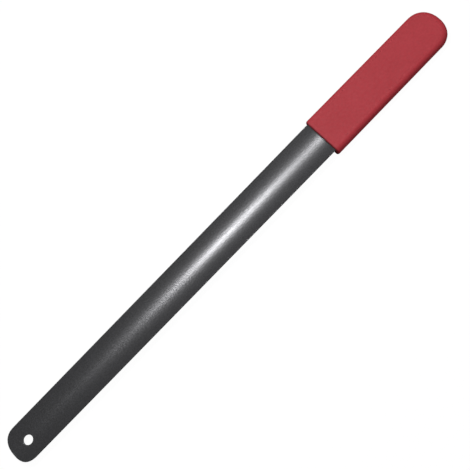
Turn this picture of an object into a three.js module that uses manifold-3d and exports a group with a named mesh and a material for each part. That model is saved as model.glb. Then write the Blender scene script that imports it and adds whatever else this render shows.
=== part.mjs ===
// A 24 in (610 mm) long-handled shoehorn in two pieces: a painted steel strip, pressed to a shallow
// trough for its whole length and pierced near one end for hanging, and a red vinyl sleeve pushed
// over the other end as the grip.
//
// Millimetres, +Z up. The strip runs along X, with the hanging hole at the -X end and the grip at the
// +X end. The hollow side of the trough faces up, and the grip's flat back lies in the plane z = 0.
// The origin is on that plane, under the middle of the overall length.
import * as THREE from "three";
import { mergeVertices } from "three/addons/utils/BufferGeometryUtils.js";
import Module from "manifold-3d";

// ---- Driving dimensions ----
const OVERALL_LENGTH = 610;
const CLEARANCE = 0.3; // between the strip and the sleeve around it

const SHEET = 1.2;
const TIP_WIDTH = 41.4; // of the strip, at the hanging end
const MOUTH_WIDTH = 42.5; // of the strip, where it enters the sleeve, and from there on
const TROUGH_DEPTH = 3.3; // from the chord across the hollow side down to its middle
const TIP_ROUND_LENGTH = 18.9;
const TIP_ROUND_POWER = 2.4; // 2 is an ellipse, and more is squarer
const HOLE_DIAMETER = 10.6;
const HOLE_FROM_TIP = 21.1;

const SLEEVE_LENGTH = 168.8; // along its back
const MOUTH_SLANT = 2.2; // how much shorter the front of the sleeve is than its back
const SLEEVE_MOUTH_WIDTH = 50;
const SLEEVE_END_WIDTH = 48.3;
const SLEEVE_THICKNESS = 10;
const SLEEVE_EDGE_RADIUS = 4.6;
const SLEEVE_ROUND_LENGTH = 21.6;
const SLEEVE_ROUND_POWER = 2.2;
const SLEEVE_BACK_WALL = 3.6; // under the middle of the strip
const SLEEVE_END_WALL = 3.2;

// ---- Places worked out from them ----
const TIP_X = -OVERALL_LENGTH / 2;
const END_X = OVERALL_LENGTH / 2;
const MOUTH_X = END_X - SLEEVE_LENGTH;
const STRIP_END_X = END_X - SLEEVE_END_WALL - CLEARANCE;
const STRIP_END_ROUND_LENGTH = SLEEVE_ROUND_LENGTH - SLEEVE_END_WALL;
const HOLLOW_Z = SLEEVE_BACK_WALL + CLEARANCE + SHEET; // the middle of the hollow side
const TROUGH_RADIUS = ((MOUTH_WIDTH / 2) ** 2 + TROUGH_DEPTH ** 2) / (2 * TROUGH_DEPTH);
const TROUGH_AXIS_Z = HOLLOW_Z + TROUGH_RADIUS;
const CAVITY_TOP_Z = HOLLOW_Z + TROUGH_DEPTH + CLEARANCE;

// ---- Fineness ----
const ROUND_STEPS = 18; // along a quarter of a rounded end
const TROUGH_STEPS = 28; // facets across the trough
const HOLE_STEPS = 40;
const EDGE_STEPS = 6; // around an edge of the sleeve
const PAST = 12; // how far a cutting solid reaches past what it cuts

// ---- From three.js geometry to a manifold-3d solid and back ----
const wasm = await Module();
wasm.setup();

function toSolid(geometry) {
  geometry.deleteAttribute("normal");
  geometry.deleteAttribute("uv");
  const merged = mergeVertices(geometry, 1e-4);
  const mesh = new wasm.Mesh({
    numProp: 3,
    vertProperties: new Float32Array(merged.attributes.position.array),
    triVerts: new Uint32Array(merged.index.array),
  });
  return new wasm.Manifold(mesh);
}

function toGeometry(solid) {
  const mesh = solid.getMesh();
  const shared = new THREE.BufferGeometry();
  shared.setAttribute("position", new THREE.BufferAttribute(mesh.vertProperties, 3));
  shared.setIndex(new THREE.BufferAttribute(mesh.triVerts, 1));
  const geometry = shared.toNonIndexed();
  geometry.computeVertexNormals();
  return geometry;
}

// ---- Plan outlines, seen from above ----
// The +Y quarter of a rounded end, listed from its side to its nose at (noseX, 0). It points to
// +X or -X as direction is 1 or -1.
function roundedQuarter(noseX, direction, length, halfWidth, power) {
  const points = [];
  for (let step = 0; step <= ROUND_STEPS; step++) {
    const angle = ((Math.PI / 2) * step) / ROUND_STEPS;
    const along = Math.sin(angle) ** (2 / power);
    const across = step === ROUND_STEPS ? 0 : Math.cos(angle) ** (2 / power);
    points.push(new THREE.Vector2(noseX - direction * length * (1 - along), halfWidth * across));
  }
  return points;
}

// The whole outline, from the points of its +Y side listed from -X to +X.
function symmetricShape(side) {
  const otherSide = side
    .filter((point) => point.y > 0)
    .map((point) => new THREE.Vector2(point.x, -point.y))
    .reverse();
  return new THREE.Shape([...side, ...otherSide]);
}

function stripOutline() {
  const tip = roundedQuarter(TIP_X, -1, TIP_ROUND_LENGTH, TIP_WIDTH / 2, TIP_ROUND_POWER);
  const end = roundedQuarter(
    STRIP_END_X, 1, STRIP_END_ROUND_LENGTH, MOUTH_WIDTH / 2, SLEEVE_ROUND_POWER,
  );
  const mouth = new THREE.Vector2(MOUTH_X, MOUTH_WIDTH / 2);
  const outline = symmetricShape([...tip.reverse(), mouth, ...end]);
  const hole = new THREE.Path();
  hole.absarc(TIP_X + HOLE_FROM_TIP, 0, HOLE_DIAMETER / 2, 0, 2 * Math.PI);
  outline.holes.push(new THREE.Path(hole.getSpacedPoints(HOLE_STEPS).slice(0, -1)));
  return outline;
}

function sleeveOutline() {
  const straight = SLEEVE_LENGTH - SLEEVE_ROUND_LENGTH;
  const taper = (SLEEVE_MOUTH_WIDTH - SLEEVE_END_WIDTH) / straight; // per millimetre, both sides
  const openWidth = SLEEVE_MOUTH_WIDTH + taper * PAST;
  const end = roundedQuarter(
    END_X, 1, SLEEVE_ROUND_LENGTH, SLEEVE_END_WIDTH / 2, SLEEVE_ROUND_POWER,
  );
  return symmetricShape([new THREE.Vector2(MOUTH_X - PAST, openWidth / 2), ...end]);
}

function cavityOutline() {
  const halfWidth = MOUTH_WIDTH / 2 + CLEARANCE;
  const end = roundedQuarter(
    STRIP_END_X + CLEARANCE,
    1,
    STRIP_END_ROUND_LENGTH + CLEARANCE,
    halfWidth,
    SLEEVE_ROUND_POWER,
  );
  return symmetricShape([new THREE.Vector2(MOUTH_X - PAST, halfWidth), ...end]);
}

function extrudeUp(outline, fromZ, toZ) {
  const prism = new THREE.ExtrudeGeometry(outline, { depth: toZ - fromZ, bevelEnabled: false });
  return toSolid(prism.translate(0, 0, fromZ));
}

// ---- Sections across the strip, drawn with Y to the right and Z up ----
// An arc about the trough's axis, long enough to pass both edges of the strip.
function troughArc(section, radius, halfWidth, backwards) {
  const reach = Math.asin(halfWidth / radius);
  const from = -Math.PI / 2 - reach;
  const to = -Math.PI / 2 + reach;
  if (backwards) section.absarc(0, TROUGH_AXIS_Z, radius, to, from, true);
  else section.absarc(0, TROUGH_AXIS_Z, radius, from, to, false);
}

function sheetSection() {
  const section = new THREE.Shape();
  troughArc(section, TROUGH_RADIUS + SHEET, MOUTH_WIDTH / 2 + PAST, false);
  troughArc(section, TROUGH_RADIUS, MOUTH_WIDTH / 2 + PAST, true);
  return section;
}

// It follows the strip's under side, and is flat above, where the sleeve spans the hollow.
function cavitySection() {
  const halfWidth = MOUTH_WIDTH / 2 + 2 * CLEARANCE;
  const section = new THREE.Shape();
  troughArc(section, TROUGH_RADIUS + SHEET + CLEARANCE, halfWidth, false);
  section.lineTo(halfWidth, CAVITY_TOP_Z);
  section.lineTo(-halfWidth, CAVITY_TOP_Z);
  return section;
}

function extrudeAlongX(section, fromX, toX) {
  const bar = new THREE.ExtrudeGeometry(section, {
    depth: toX - fromX,
    bevelEnabled: false,
    curveSegments: TROUGH_STEPS,
  });
  bar.rotateX(Math.PI / 2).rotateZ(Math.PI / 2); // drawn X, Y and depth become Y, Z and X
  return toSolid(bar.translate(fromX, 0, 0));
}

// ---- The two pieces ----
function bladeGeometry() {
  const bent = extrudeAlongX(sheetSection(), TIP_X - PAST, END_X);
  const blank = extrudeUp(stripOutline(), 0, SLEEVE_THICKNESS);
  return toGeometry(bent.intersect(blank));
}

// What the slanting cut at the sleeve's mouth takes off.
function mouthCutter() {
  const lean = MOUTH_SLANT / SLEEVE_THICKNESS;
  const topZ = SLEEVE_THICKNESS + PAST;
  const side = new THREE.Shape();
  side.moveTo(MOUTH_X - 2 * PAST, -PAST);
  side.lineTo(MOUTH_X - lean * PAST, -PAST);
  side.lineTo(MOUTH_X + lean * topZ, topZ);
  side.lineTo(MOUTH_X - 2 * PAST, topZ);
  const width = SLEEVE_MOUTH_WIDTH + PAST;
  const slab = new THREE.ExtrudeGeometry(side, { depth: width, bevelEnabled: false });
  return toSolid(slab.rotateX(Math.PI / 2).translate(0, width / 2, 0));
}

function gripSleeveGeometry() {
  const rounded = new THREE.ExtrudeGeometry(sleeveOutline(), {
    depth: SLEEVE_THICKNESS - 2 * SLEEVE_EDGE_RADIUS,
    bevelThickness: SLEEVE_EDGE_RADIUS,
    bevelSize: SLEEVE_EDGE_RADIUS,
    bevelOffset: -SLEEVE_EDGE_RADIUS,
    bevelSegments: EDGE_STEPS,
  });
  const pad = toSolid(rounded.translate(0, 0, SLEEVE_EDGE_RADIUS));
  const body = pad.subtract(mouthCutter());
  const cavity = extrudeAlongX(cavitySection(), MOUTH_X - PAST, END_X).intersect(
    extrudeUp(cavityOutline(), 0, SLEEVE_THICKNESS),
  );
  return toGeometry(body.subtract(cavity));
}

const hammeredGrey = new THREE.MeshStandardMaterial({
  color: 0x404042,
  roughness: 0.35,
  metalness: 0.3,
});
const redVinyl = new THREE.MeshStandardMaterial({
  color: 0xa63f48,
  roughness: 0.75,
  metalness: 0,
});

function namedMesh(name, geometry, material) {
  const mesh = new THREE.Mesh(geometry, material);
  mesh.name = name;
  return mesh;
}

const shoehorn = new THREE.Group();
shoehorn.add(
  namedMesh("blade", bladeGeometry(), hammeredGrey),
  namedMesh("grip_sleeve", gripSleeveGeometry(), redVinyl),
);

export default shoehorn;
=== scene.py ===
"""A long steel shoehorn with a red vinyl grip: the looks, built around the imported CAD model.

Metres, +Z up, in the CAD model's own frame: the strip runs along X with its hanging hole at -X and
the grip at +X, and the hollow side of the trough faces up.
"""

import math

import bmesh
import bpy
from mathutils import Matrix, Vector


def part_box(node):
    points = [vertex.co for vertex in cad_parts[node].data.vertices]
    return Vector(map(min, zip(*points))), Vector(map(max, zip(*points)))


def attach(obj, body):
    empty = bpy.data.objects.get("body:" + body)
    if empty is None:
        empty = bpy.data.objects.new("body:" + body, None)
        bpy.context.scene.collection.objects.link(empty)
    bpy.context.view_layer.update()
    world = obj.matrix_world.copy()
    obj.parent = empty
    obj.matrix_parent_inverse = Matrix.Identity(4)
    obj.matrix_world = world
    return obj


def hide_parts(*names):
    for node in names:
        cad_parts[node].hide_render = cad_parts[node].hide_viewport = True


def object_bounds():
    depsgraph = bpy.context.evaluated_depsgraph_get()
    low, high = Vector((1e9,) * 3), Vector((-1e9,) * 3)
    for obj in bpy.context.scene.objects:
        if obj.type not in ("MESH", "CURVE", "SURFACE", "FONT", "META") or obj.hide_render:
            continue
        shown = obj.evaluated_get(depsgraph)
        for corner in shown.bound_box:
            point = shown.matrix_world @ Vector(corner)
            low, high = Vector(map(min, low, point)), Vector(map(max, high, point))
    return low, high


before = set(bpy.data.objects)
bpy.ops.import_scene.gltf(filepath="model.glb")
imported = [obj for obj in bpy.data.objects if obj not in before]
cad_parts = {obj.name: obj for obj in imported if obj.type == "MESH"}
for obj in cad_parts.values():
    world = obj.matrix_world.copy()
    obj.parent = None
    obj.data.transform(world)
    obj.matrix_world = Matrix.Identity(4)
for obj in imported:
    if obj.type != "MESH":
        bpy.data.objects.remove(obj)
cad_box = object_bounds()
MM = 0.001
UP = Vector((0.0, 0.0, 1.0))
QUARTER_TURN = math.pi / 2

# ---- Places, from the CAD model ----
strip_low, strip_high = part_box("blade")
sleeve_low, sleeve_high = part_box("grip_sleeve")
TIP_X = strip_low.x
STRIP_END_X = strip_high.x
MOUTH_X = sleeve_low.x
SLEEVE_END_X = sleeve_high.x
STRIP_HALF_WIDTH = strip_high.y  # where it enters the sleeve, and from there on
SLEEVE_HALF_WIDTH = sleeve_high.y  # at the mouth
SLEEVE_BACK_Z = sleeve_low.z
SLEEVE_TOP_Z = sleeve_high.z

# ---- The design's other dimensions, as in the CAD model ----
SHEET = 1.2 * MM
TIP_HALF_WIDTH = 20.7 * MM
TROUGH_DEPTH = 3.3 * MM
TIP_ROUND_LENGTH = 18.9 * MM
TIP_ROUND_POWER = 2.4
HOLE_RADIUS = 5.3 * MM
HOLE_FROM_TIP = 21.1 * MM
SLEEVE_END_HALF_WIDTH = 24.15 * MM
SLEEVE_EDGE_RADIUS = 4.6 * MM
SLEEVE_ROUND_LENGTH = 21.6 * MM
SLEEVE_ROUND_POWER = 2.2
MOUTH_SLANT = 2.2 * MM  # how much shorter the front of the sleeve is than its back
CLEARANCE = 0.3 * MM

HOLLOW_Z = strip_low.z + SHEET  # the middle of the hollow side
TROUGH_RADIUS = (STRIP_HALF_WIDTH**2 + TROUGH_DEPTH**2) / (2 * TROUGH_DEPTH)
TROUGH_AXIS_Z = HOLLOW_Z + TROUGH_RADIUS
SHEET_MIDDLE_RADIUS = TROUGH_RADIUS + SHEET / 2
CAVITY_FLOOR_RADIUS = TROUGH_RADIUS + SHEET + CLEARANCE
CAVITY_TOP_Z = HOLLOW_Z + TROUGH_DEPTH + CLEARANCE
END_WALL = SLEEVE_END_X - STRIP_END_X - CLEARANCE
SLEEVE_STRAIGHT = SLEEVE_END_X - SLEEVE_ROUND_LENGTH - MOUTH_X
SLEEVE_THICKNESS = SLEEVE_TOP_Z - SLEEVE_BACK_Z

# ---- Mesh tools ----
WELD_DISTANCE = 0.002 * MM
SLIVER_LENGTH = 0.001 * MM
LARGE_FACE_WEIGHT = 90  # 50 shades from all faces alike, and more favours the large ones


def spread(start, end, count):
    """count + 1 numbers from start to end."""
    return [start + (end - start) * i / count for i in range(count + 1)]


def add_patch(bm, rows, closed=False):
    """Quads between neighbouring rows of points; closed joins each row's last point to its first."""
    made = [[bm.verts.new(point) for point in row] for row in rows]
    for row, following in zip(made, made[1:]):
        count = len(row)
        for i in range(count if closed else count - 1):
            j = (i + 1) % count
            bm.faces.new((row[i], row[j], following[j], following[i]))


def add_object(name, bm, material):
    mesh = bpy.data.meshes.new(name)
    bm.to_mesh(mesh)
    bm.free()
    mesh.materials.append(material)
    made = bpy.data.objects.new(name, mesh)
    bpy.context.scene.collection.objects.link(made)
    return made


def finish_piece(name, bm, material, node):
    """Welds the patches into one closed body, makes the object and hangs it on the CAD model."""
    bmesh.ops.remove_doubles(bm, verts=bm.verts, dist=WELD_DISTANCE)
    bmesh.ops.dissolve_degenerate(bm, edges=bm.edges, dist=SLIVER_LENGTH)
    bmesh.ops.recalc_face_normals(bm, faces=bm.faces)
    piece = add_object(name, bm, material)
    piece.data.shade_smooth()
    weighted = piece.modifiers.new("weighted_normals", "WEIGHTED_NORMAL")
    weighted.mode = "FACE_AREA"
    weighted.weight = LARGE_FACE_WEIGHT
    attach(piece, "root")
    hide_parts(node)


# ---- Plan outlines: the points of the +Y side, each with its outward normal ----
def straight_side(from_x, to_x, count, half_width_at):
    """A straight side that stops a step short of to_x, where the rounded end's first point is."""
    stations = spread(from_x, to_x, count)[:-1]
    return [(Vector((x, half_width_at(x))), Vector((0.0, 1.0))) for x in stations]


def quarter_end(nose_x, direction, length, half_width, power, steps):
    """The +Y quarter of a rounded end, from its side to its nose. direction is 1 to point to +X.

    It is the superellipse that the CAD model's outline uses.
    """
    samples = []
    for angle in spread(0.0, QUARTER_TURN, steps):
        along = math.sin(angle) ** (2 / power)
        across = math.cos(angle) ** (2 / power) if angle < QUARTER_TURN else 0.0
        slope = Vector((along ** (power - 1) / length, across ** (power - 1) / half_width))
        slope.normalize()
        point = Vector((nose_x - direction * length * (1 - along), half_width * across))
        samples.append((point, Vector((direction * slope.x, slope.y))))
    return samples


def mirrored(samples):
    """The same points and normals on the -Y side, whether they are in plan or in space."""
    return [tuple(Vector((v.x, -v.y, *v[2:])) for v in sample) for sample in samples]


# ---- The strip ----
EDGE_RADIUS = 0.25 * MM  # the sheared edge, softened by the paint
EDGE_STEPS = 4
ACROSS = 36  # columns of faces across the trough
RINGS = 10  # rings of faces from the hole out to the tip's outline
JOIN_X = TIP_X + 2 * HOLE_FROM_TIP  # where the rings around the hole hand over to plain rows
TIP_SIDE_STEPS = 12
TIP_ROUND_STEPS = 40
BODY_STEP = 4 * MM
HIDDEN_ROUND_STEPS = 20


def on_sheet(plan, level):
    """The point above or below a plan position, level metres up from the middle of the sheet."""
    tilt = math.asin(plan.y / SHEET_MIDDLE_RADIUS)
    radius = SHEET_MIDDLE_RADIUS - level
    return Vector((plan.x, radius * math.sin(tilt), TROUGH_AXIS_Z - radius * math.cos(tilt)))


def strip_half_width(x):
    share = (x - TIP_X) / (MOUTH_X - TIP_X)
    return TIP_HALF_WIDTH + (STRIP_HALF_WIDTH - TIP_HALF_WIDTH) * min(1.0, share)


def across_strip(side):
    """Plan points straight across the strip, from -Y to a point of its +Y side."""
    return [Vector((side.x, side.y * v)) for v in spread(-1.0, 1.0, ACROSS)]


def edge_profile():
    """(inset in plan, level) round the sheet's edge, from its upper face to its lower one."""
    upper = [
        (EDGE_RADIUS * (1 - math.cos(a)), SHEET / 2 - EDGE_RADIUS * (1 - math.sin(a)))
        for a in spread(QUARTER_TURN, 0.0, EDGE_STEPS)
    ]
    return upper + [(inset, -level) for inset, level in reversed(upper)]


def inside_edge(samples):
    """The side, moved in to where the faces end and the rounded edge begins."""
    return [point - normal * EDGE_RADIUS for point, normal in samples]


def build_strip(material):
    tip = straight_side(JOIN_X, TIP_X + TIP_ROUND_LENGTH, TIP_SIDE_STEPS, strip_half_width)
    tip += quarter_end(
        TIP_X, -1, TIP_ROUND_LENGTH, TIP_HALF_WIDTH, TIP_ROUND_POWER, TIP_ROUND_STEPS
    )
    end_length = SLEEVE_ROUND_LENGTH - END_WALL
    end_side_x = STRIP_END_X - end_length
    body_steps = round((end_side_x - JOIN_X) / BODY_STEP)
    body = straight_side(JOIN_X, end_side_x, body_steps, strip_half_width)
    body += quarter_end(
        STRIP_END_X, 1, end_length, STRIP_HALF_WIDTH, SLEEVE_ROUND_POWER, HIDDEN_ROUND_STEPS
    )

    # Rings from the hole to the tip's outline, and across the strip at JOIN_X. Plain rows from there.
    hole = Vector((TIP_X + HOLE_FROM_TIP, 0.0))
    ring_ends = inside_edge(tip) + inside_edge(reversed(mirrored(tip)))[1:]
    ring_ends += across_strip(ring_ends[0])[1:-1]
    ways = [(point - hole).normalized() for point in ring_ends]
    ring_starts = [hole + way * (HOLE_RADIUS + EDGE_RADIUS) for way in ways]
    rings = [
        [start.lerp(end, share) for start, end in zip(ring_starts, ring_ends)]
        for share in spread(0.0, 1.0, RINGS)
    ]
    rows = [across_strip(side) for side in inside_edge(body)]
    bm = bmesh.new()
    for level in (SHEET / 2, -SHEET / 2):
        add_patch(bm, [[on_sheet(point, level) for point in ring] for ring in rings], closed=True)
        add_patch(bm, [[on_sheet(point, level) for point in row] for row in rows])

    # The rounded edge, round the outline and round the hole.
    side = list(reversed(tip)) + body[1:]
    outline = side + list(reversed(mirrored(side)))[1:-1]
    hole_edge = [(hole + way * HOLE_RADIUS, -way) for way in ways]
    for loop in (outline, hole_edge):
        bands = [
            [on_sheet(point - normal * inset, level) for point, normal in loop]
            for inset, level in edge_profile()
        ]
        add_patch(bm, bands, closed=True)
    finish_piece("painted_strip", bm, material, "blade")


# ---- The sleeve ----
SLEEVE_ACROSS = 24  # columns of faces across each of its flats
SLEEVE_EDGE_STEPS = 8
SLEEVE_SIDE_STEPS = 40
SLEEVE_ROUND_STEPS = 36
CAVITY_HALF_WIDTH = STRIP_HALF_WIDTH + CLEARANCE
CAVITY_EDGE_RADIUS = 0.7 * MM
CAVITY_SIDE_STEPS = 30
CAVITY_ROUND_STEPS = 16
LIP_RADIUS = 1.1 * MM
LIP_INNER_RADIUS = 0.2 * MM
LIP_STEPS = 5
SLANT_FADE = 40 * MM  # how far into the sleeve its mesh leans with the mouth
CORNER_RADIUS = 3 * MM  # of the two corners of the mouth, seen from above
CORNER_FADE = 12 * MM  # how far into the sleeve its mesh bends with them


def sleeve_half_width(x):
    share = (x - MOUTH_X) / SLEEVE_STRAIGHT
    return SLEEVE_HALF_WIDTH + (SLEEVE_END_HALF_WIDTH - SLEEVE_HALF_WIDTH) * share


def cavity_half_width(_x):
    return CAVITY_HALF_WIDTH


def flat_back(_y):
    return SLEEVE_BACK_Z


def cavity_floor(y):
    return TROUGH_AXIS_Z - math.sqrt(CAVITY_FLOOR_RADIUS**2 - y**2)


def rounded_edge(core, out, radius, upper_z, lower_z):
    """An edge of a section, from the top down: points, each with its outward normal.

    It turns about core at upper_z, runs straight down and turns again at lower_z. out is level.
    """
    turns = [(upper_z, angle) for angle in spread(QUARTER_TURN, 0.0, SLEEVE_EDGE_STEPS)]
    turns += [(lower_z, angle) for angle in spread(0.0, -QUARTER_TURN, SLEEVE_EDGE_STEPS)]
    samples = []
    for z, angle in turns:
        normal = out.to_3d() * math.cos(angle) + UP * math.sin(angle)
        samples.append((Vector((*core, z)) + normal * radius, normal))
    return samples


def sleeve_section(sample, edge_radius, top_z, bottom_z):
    """One closed loop round the sleeve or its cavity, with the outward normal at each point.

    It runs over the top to -Y, down that edge, back under the bottom and up the +Y edge. sample is
    a plan point of the +Y side and its normal. bottom_z gives the height at a Y.
    """
    side, normal = sample
    core = side - normal * edge_radius
    upper_z = top_z - edge_radius
    lower_z = bottom_z(core.y) + edge_radius
    edge = rounded_edge(core, normal, edge_radius, upper_z, lower_z)
    ys = spread(core.y, -core.y, SLEEVE_ACROSS)[1:-1]
    top = [(Vector((core.x, y, top_z)), UP) for y in ys]
    bottom = [(Vector((core.x, y, bottom_z(y))), -UP) for y in reversed(ys)]
    return top + mirrored(edge) + bottom + list(reversed(edge))


def lip_rows(section, radius, way):
    """Rows round the lip, from its front back to a section. way is 1 outside and -1 in the mouth."""
    rows = []
    for angle in spread(0.0, QUARTER_TURN, LIP_STEPS)[:-1]:
        x = MOUTH_X + radius * (1 - math.cos(angle))
        inset = way * radius * (1 - math.sin(angle))
        rows.append([Vector((x, *(point - normal * inset).yz)) for point, normal in section])
    return rows


def fitted_to_mouth(point):
    """Near the mouth, a point of the sleeve moves back along it with the slant and at the corners."""
    inward = point.x - MOUTH_X
    height = (point.z - SLEEVE_BACK_Z) / SLEEVE_THICKNESS
    slant = MOUTH_SLANT * height * max(0.0, 1 - inward / SLANT_FADE)
    past = max(0.0, abs(point.y) - (SLEEVE_HALF_WIDTH - CORNER_RADIUS))
    drop = CORNER_RADIUS - math.sqrt(max(0.0, CORNER_RADIUS**2 - past**2))
    corner = drop * max(0.0, 1 - inward / CORNER_FADE)
    return Vector((point.x + slant + corner, point.y, point.z))


def build_sleeve(material):
    outer = straight_side(
        MOUTH_X + LIP_RADIUS, MOUTH_X + SLEEVE_STRAIGHT, SLEEVE_SIDE_STEPS, sleeve_half_width
    )
    outer += quarter_end(
        SLEEVE_END_X,
        1,
        SLEEVE_ROUND_LENGTH,
        SLEEVE_END_HALF_WIDTH,
        SLEEVE_ROUND_POWER,
        SLEEVE_ROUND_STEPS,
    )
    outside = [
        sleeve_section(sample, SLEEVE_EDGE_RADIUS, SLEEVE_TOP_Z, flat_back) for sample in outer
    ]

    end_x = STRIP_END_X + CLEARANCE
    end_length = SLEEVE_ROUND_LENGTH - END_WALL + CLEARANCE
    cavity = straight_side(
        MOUTH_X + LIP_INNER_RADIUS, end_x - end_length, CAVITY_SIDE_STEPS, cavity_half_width
    )
    cavity += quarter_end(
        end_x, 1, end_length, CAVITY_HALF_WIDTH, SLEEVE_ROUND_POWER, CAVITY_ROUND_STEPS
    )
    inside = [
        sleeve_section(sample, CAVITY_EDGE_RADIUS, CAVITY_TOP_Z, cavity_floor)
        for sample in cavity
    ]

    # From the closed end along the outside, round the lip, and in to the end of the cavity.
    rows = [[point for point, _ in section] for section in reversed(outside)]
    rows += reversed(lip_rows(outside[0], LIP_RADIUS, 1))
    rows += lip_rows(inside[0], LIP_INNER_RADIUS, -1)
    rows += [[point for point, _ in section] for section in inside]
    bm = bmesh.new()
    add_patch(bm, [[fitted_to_mouth(point) for point in row] for row in rows], closed=True)
    finish_piece("vinyl_sleeve", bm, material, "grip_sleeve")


# ---- Materials: distances in metres, and noise scales in cells per metre ----
NOISE_LOW = 0.3  # nearly all of a noise texture's values lie between these two
NOISE_HIGH = 0.7


class Nodes:
    """A few lines that keep the node trees below short."""

    def __init__(self, name):
        self.material = bpy.data.materials.new(name)
        self.material.use_nodes = True
        self.tree = self.material.node_tree
        self.shader = self.tree.nodes["Principled BSDF"]
        self.place = self.add("ShaderNodeTexCoord").outputs["Object"]

    def add(self, kind):
        return self.tree.nodes.new(kind)

    def link(self, source, target):
        self.tree.links.new(source, target)

    def noise(self, scale, detail, roughness=0.5):
        node = self.add("ShaderNodeTexNoise")
        node.inputs["Scale"].default_value = scale
        node.inputs["Detail"].default_value = detail
        node.inputs["Roughness"].default_value = roughness
        self.link(self.place, node.inputs["Vector"])
        return node.outputs["Fac"]

    def scaled(self, value, low, high, from_low=NOISE_LOW, from_high=NOISE_HIGH):
        """Goes from low to high as the value goes from from_low to from_high."""
        node = self.add("ShaderNodeMapRange")
        node.inputs["From Min"].default_value = from_low
        node.inputs["From Max"].default_value = from_high
        node.inputs["To Min"].default_value = low
        node.inputs["To Max"].default_value = high
        self.link(value, node.inputs["Value"])
        return node.outputs["Result"]

    def along(self, direction, start, end, low, high):
        """Goes from low to high between two distances along a direction."""
        node = self.add("ShaderNodeVectorMath")
        node.operation = "DOT_PRODUCT"
        self.link(self.place, node.inputs[0])
        node.inputs[1].default_value = direction
        return self.scaled(node.outputs["Value"], low, high, start, end)

    def shaded(self, colour, share):
        """The colour times a share."""
        node = self.add("ShaderNodeVectorMath")
        node.operation = "SCALE"
        self.link(colour, node.inputs["Vector"])
        self.link(share, node.inputs["Scale"])
        return node.outputs["Vector"]

    def ramp(self, value, low, low_colour, high, high_colour):
        """Goes from one colour to the other as the value goes from low to high."""
        node = self.add("ShaderNodeValToRGB")
        stops = ((low, low_colour), (high, high_colour))
        for element, (position, colour) in zip(node.color_ramp.elements, stops):
            element.position = position
            element.color = (*colour, 1.0)
        self.link(value, node.inputs["Fac"])
        return node.outputs["Color"]

    def bump(self, height, depth):
        node = self.add("ShaderNodeBump")
        node.inputs["Distance"].default_value = depth
        self.link(height, node.inputs["Height"])
        self.link(node.outputs["Normal"], self.shader.inputs["Normal"])


PAINT_DARK = (0.048, 0.048, 0.0505)
PAINT_FLAKE = (0.072, 0.072, 0.0765)
FLAKE_LOW = 0.35  # narrower than the noise's own range, so that the flakes stand out
FLAKE_HIGH = 0.65
DIMPLE_DEPTH = 0.037 * MM


def hammered_paint():
    """Dark grey paint with a fine hammered grain: small dimples and a little metal flake."""
    made = Nodes("hammered_grey_paint")
    flakes = made.noise(scale=820.0, detail=2.0, roughness=0.6)
    clouds = made.noise(scale=60.0, detail=3.0)
    dimples = made.noise(scale=620.0, detail=0.0)
    colour = made.ramp(flakes, FLAKE_LOW, PAINT_DARK, FLAKE_HIGH, PAINT_FLAKE)
    made.link(colour, made.shader.inputs["Base Color"])
    made.link(made.scaled(clouds, low=0.242, high=0.254), made.shader.inputs["Roughness"])
    made.shader.inputs["Metallic"].default_value = 0.5
    made.bump(dimples, DIMPLE_DEPTH)
    return made.material


VINYL_DEEP = (0.415, 0.030, 0.041)
VINYL_PALE = (0.441, 0.034, 0.047)
GRAIN_DEPTH = 0.06 * MM
# Along this direction, the whole of the slanting mouth is at MOUTH_X.
FROM_MOUTH = (1.0, 0.0, -MOUTH_SLANT / SLEEVE_THICKNESS)
# Painted shade: round the lip of the mouth the red is darkened to this share, standing in for the shade
# of the gap there.
LIP_PAINTED_SHADE = 0.38
LIP_PAINTED_SHADE_START = 0.2 * MM  # full painted shade up to here, in from the mouth
LIP_PAINTED_SHADE_END = 1.8 * MM  # and none from here


def red_vinyl():
    """Soft red vinyl with a dull, finely grained skin, a little mottled, and painted shade round its
    lip.
    """
    made = Nodes("red_vinyl")
    clouds = made.noise(scale=45.0, detail=4.0)
    mottle = made.noise(scale=420.0, detail=2.0)
    sheen = made.noise(scale=300.0, detail=2.0)
    grain = made.noise(scale=1500.0, detail=2.0)
    red = made.ramp(clouds, NOISE_LOW, VINYL_DEEP, NOISE_HIGH, VINYL_PALE)
    mottled = made.shaded(red, made.scaled(mottle, low=0.95, high=1.05))
    # Painted shade round the lip of the mouth, standing in for the shade of the gap under it.
    lip = made.along(
        FROM_MOUTH, MOUTH_X + LIP_PAINTED_SHADE_START, MOUTH_X + LIP_PAINTED_SHADE_END, low=LIP_PAINTED_SHADE, high=1.0
    )
    made.link(made.shaded(mottled, lip), made.shader.inputs["Base Color"])
    made.link(made.scaled(sheen, low=0.50, high=0.60), made.shader.inputs["Roughness"])
    made.shader.inputs["Specular IOR Level"].default_value = 0.2
    made.bump(grain, GRAIN_DEPTH)
    return made.material


# ---- Camera ----
CAMERA_AZIMUTH = math.radians(1.312)
CAMERA_ELEVATION = math.radians(63.473)
CAMERA_ROLL = math.radians(-46.904)
CAMERA_DISTANCE = 1.4
CAMERA_LENS = 107.34  # this and the sensor's width are in millimetres
CAMERA_SENSOR = 36.0
CAMERA_CLIP_START = 0.05
LOOK_AT = Vector((0.00796, -0.00573, HOLLOW_Z))


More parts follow.
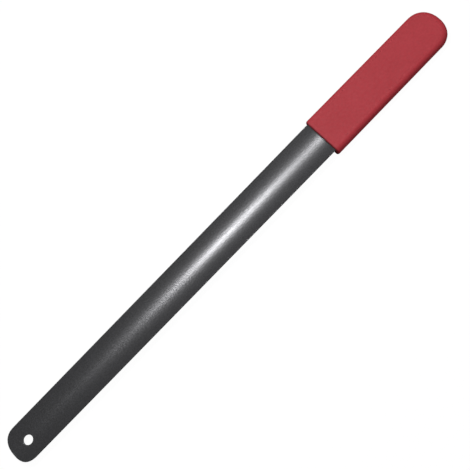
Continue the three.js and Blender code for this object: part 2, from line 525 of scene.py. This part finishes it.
def add_camera():
    back = Vector((
        math.sin(CAMERA_AZIMUTH) * math.cos(CAMERA_ELEVATION),
        -math.cos(CAMERA_AZIMUTH) * math.cos(CAMERA_ELEVATION),
        math.sin(CAMERA_ELEVATION),
    ))
    level_right = (-back).cross(UP).normalized()
    level_up = level_right.cross(-back)
    right = math.cos(CAMERA_ROLL) * level_right + math.sin(CAMERA_ROLL) * level_up
    up = back.cross(right)
    data = bpy.data.cameras.new("camera")
    data.lens = CAMERA_LENS
    data.sensor_width = CAMERA_SENSOR
    data.clip_start = CAMERA_CLIP_START
    camera = bpy.data.objects.new("camera", data)
    turned = Matrix((right, up, back)).transposed().to_4x4()
    camera.matrix_world = Matrix.Translation(LOOK_AT + back * CAMERA_DISTANCE) @ turned
    bpy.context.scene.collection.objects.link(camera)
    bpy.context.scene.camera = camera


# ---- Floor and backdrop ----
FLOOR_HALF_SIZE = 6.0
FLOOR_SQUARES = 8  # faces along each side
FLOOR_LIGHT = 0.97
BACKDROP_RADIUS = 5.8
BACKDROP_TURNS = 48  # faces round it
BACKDROP_ROWS = 16
BACKDROP_TOP = math.radians(89)  # the elevation where it stops
BACKDROP_LIGHT = 1.0
STAGE_GREY = (0.04, 0.04, 0.04, 1.0)
WHITE = (1.0, 1.0, 1.0, 1.0)


def pale_stage(name, bm, own_light):
    """A pale piece of the stage. It doesn't show in reflections, and casts no light on the shoehorn."""
    material = bpy.data.materials.new(name)
    material.use_nodes = True
    shader = material.node_tree.nodes["Principled BSDF"]
    shader.inputs["Base Color"].default_value = STAGE_GREY
    shader.inputs["Roughness"].default_value = 0.9
    shader.inputs["Specular IOR Level"].default_value = 0.1
    shader.inputs["Emission Color"].default_value = WHITE
    shader.inputs["Emission Strength"].default_value = own_light
    piece = add_object(name, bm, material)
    piece.location.z = cad_box[0].z
    piece.visible_diffuse = False
    piece.visible_glossy = False
    return piece


def add_floor():
    bm = bmesh.new()
    bmesh.ops.create_grid(
        bm, x_segments=FLOOR_SQUARES, y_segments=FLOOR_SQUARES, size=FLOOR_HALF_SIZE
    )
    pale_stage("floor", bm, FLOOR_LIGHT)


def add_backdrop():
    """A dome over the floor, which low views see behind the shoehorn. The room's light passes it."""
    turns = spread(0.0, 2 * math.pi, BACKDROP_TURNS)[:-1]
    rows = []
    for elevation in spread(0.0, BACKDROP_TOP, BACKDROP_ROWS):
        radius = BACKDROP_RADIUS * math.cos(elevation)
        z = BACKDROP_RADIUS * math.sin(elevation)
        rows.append([Vector((radius * math.cos(a), radius * math.sin(a), z)) for a in turns])
    bm = bmesh.new()
    add_patch(bm, rows, closed=True)
    backdrop = pale_stage("backdrop", bm, BACKDROP_LIGHT)
    backdrop.visible_shadow = False


# ---- Lights ----
# One long, narrow box behind the shoehorn and above it, in three parts of their own brightness:
# the place of each along X, its size along X and across, and its power in watts.
SOFTBOX_Y = 0.512
SOFTBOX_Z = 1.095
SOFTBOXES = (
    ("tip_light", -0.28, (0.30, 0.02), 0.12),
    ("strip_light", -0.002, (0.25, 0.02), 5.3),
    ("grip_light", 0.3, (0.04, 0.12), 2.5),
)
# How the room's brightness changes with direction: an axis, the two ends of the change along it,
# and the share of the light at each end.
ROOM_SHADES = (
    ("X", -0.3, 0.15, 0.20, 0.60),
    ("Y", -0.8, 0.8, 1.25, 0.75),
    ("Z", -0.15, 0.20, 0.2, 1.0),
)


def add_softbox(name, x, size, power):
    """A part of the box, turned to the strip's middle line. The camera doesn't see it."""
    place = Vector((x, SOFTBOX_Y, SOFTBOX_Z))
    aim = Vector((x, 0.0, HOLLOW_Z))
    data = bpy.data.lights.new(name, "AREA")
    data.shape = "RECTANGLE"
    data.size, data.size_y = size
    data.energy = power
    light = bpy.data.objects.new(name, data)
    light.location = place
    light.rotation_mode = "QUATERNION"
    light.rotation_quaternion = (place - aim).to_track_quat("Z", "Y")
    light.visible_camera = False
    bpy.context.scene.collection.objects.link(light)


def room_share(tree, value, from_low, from_high, low, high):
    """Goes smoothly from low to high as the value goes from from_low to from_high."""
    node = tree.nodes.new("ShaderNodeMapRange")
    node.interpolation_type = "SMOOTHSTEP"
    node.inputs["From Min"].default_value = from_low
    node.inputs["From Max"].default_value = from_high
    node.inputs["To Min"].default_value = low
    node.inputs["To Max"].default_value = high
    tree.links.new(value, node.inputs["Value"])
    return node.outputs["Result"]


def add_world():
    """A pale room: dim below the horizon, and brighter toward the grip's end and the camera's side."""
    world = bpy.data.worlds.new("studio")
    world.use_nodes = True
    tree = world.node_tree
    way = tree.nodes.new("ShaderNodeSeparateXYZ")
    place = tree.nodes.new("ShaderNodeTexCoord")
    tree.links.new(place.outputs["Generated"], way.inputs["Vector"])
    shares = [room_share(tree, way.outputs[axis], *shade) for axis, *shade in ROOM_SHADES]
    product = shares[0]
    for share in shares[1:]:
        multiply = tree.nodes.new("ShaderNodeMath")
        multiply.operation = "MULTIPLY"
        tree.links.new(product, multiply.inputs[0])
        tree.links.new(share, multiply.inputs[1])
        product = multiply.outputs["Value"]
    background = tree.nodes["Background"]
    background.inputs["Color"].default_value = WHITE
    tree.links.new(product, background.inputs["Strength"])
    bpy.context.scene.world = world


# ---- The scene ----
add_camera()
add_floor()
add_backdrop()
add_world()
for softbox in SOFTBOXES:
    add_softbox(*softbox)
bpy.context.scene.view_settings.view_transform = "Standard"

build_strip(hammered_paint())
build_sleeve(red_vinyl())
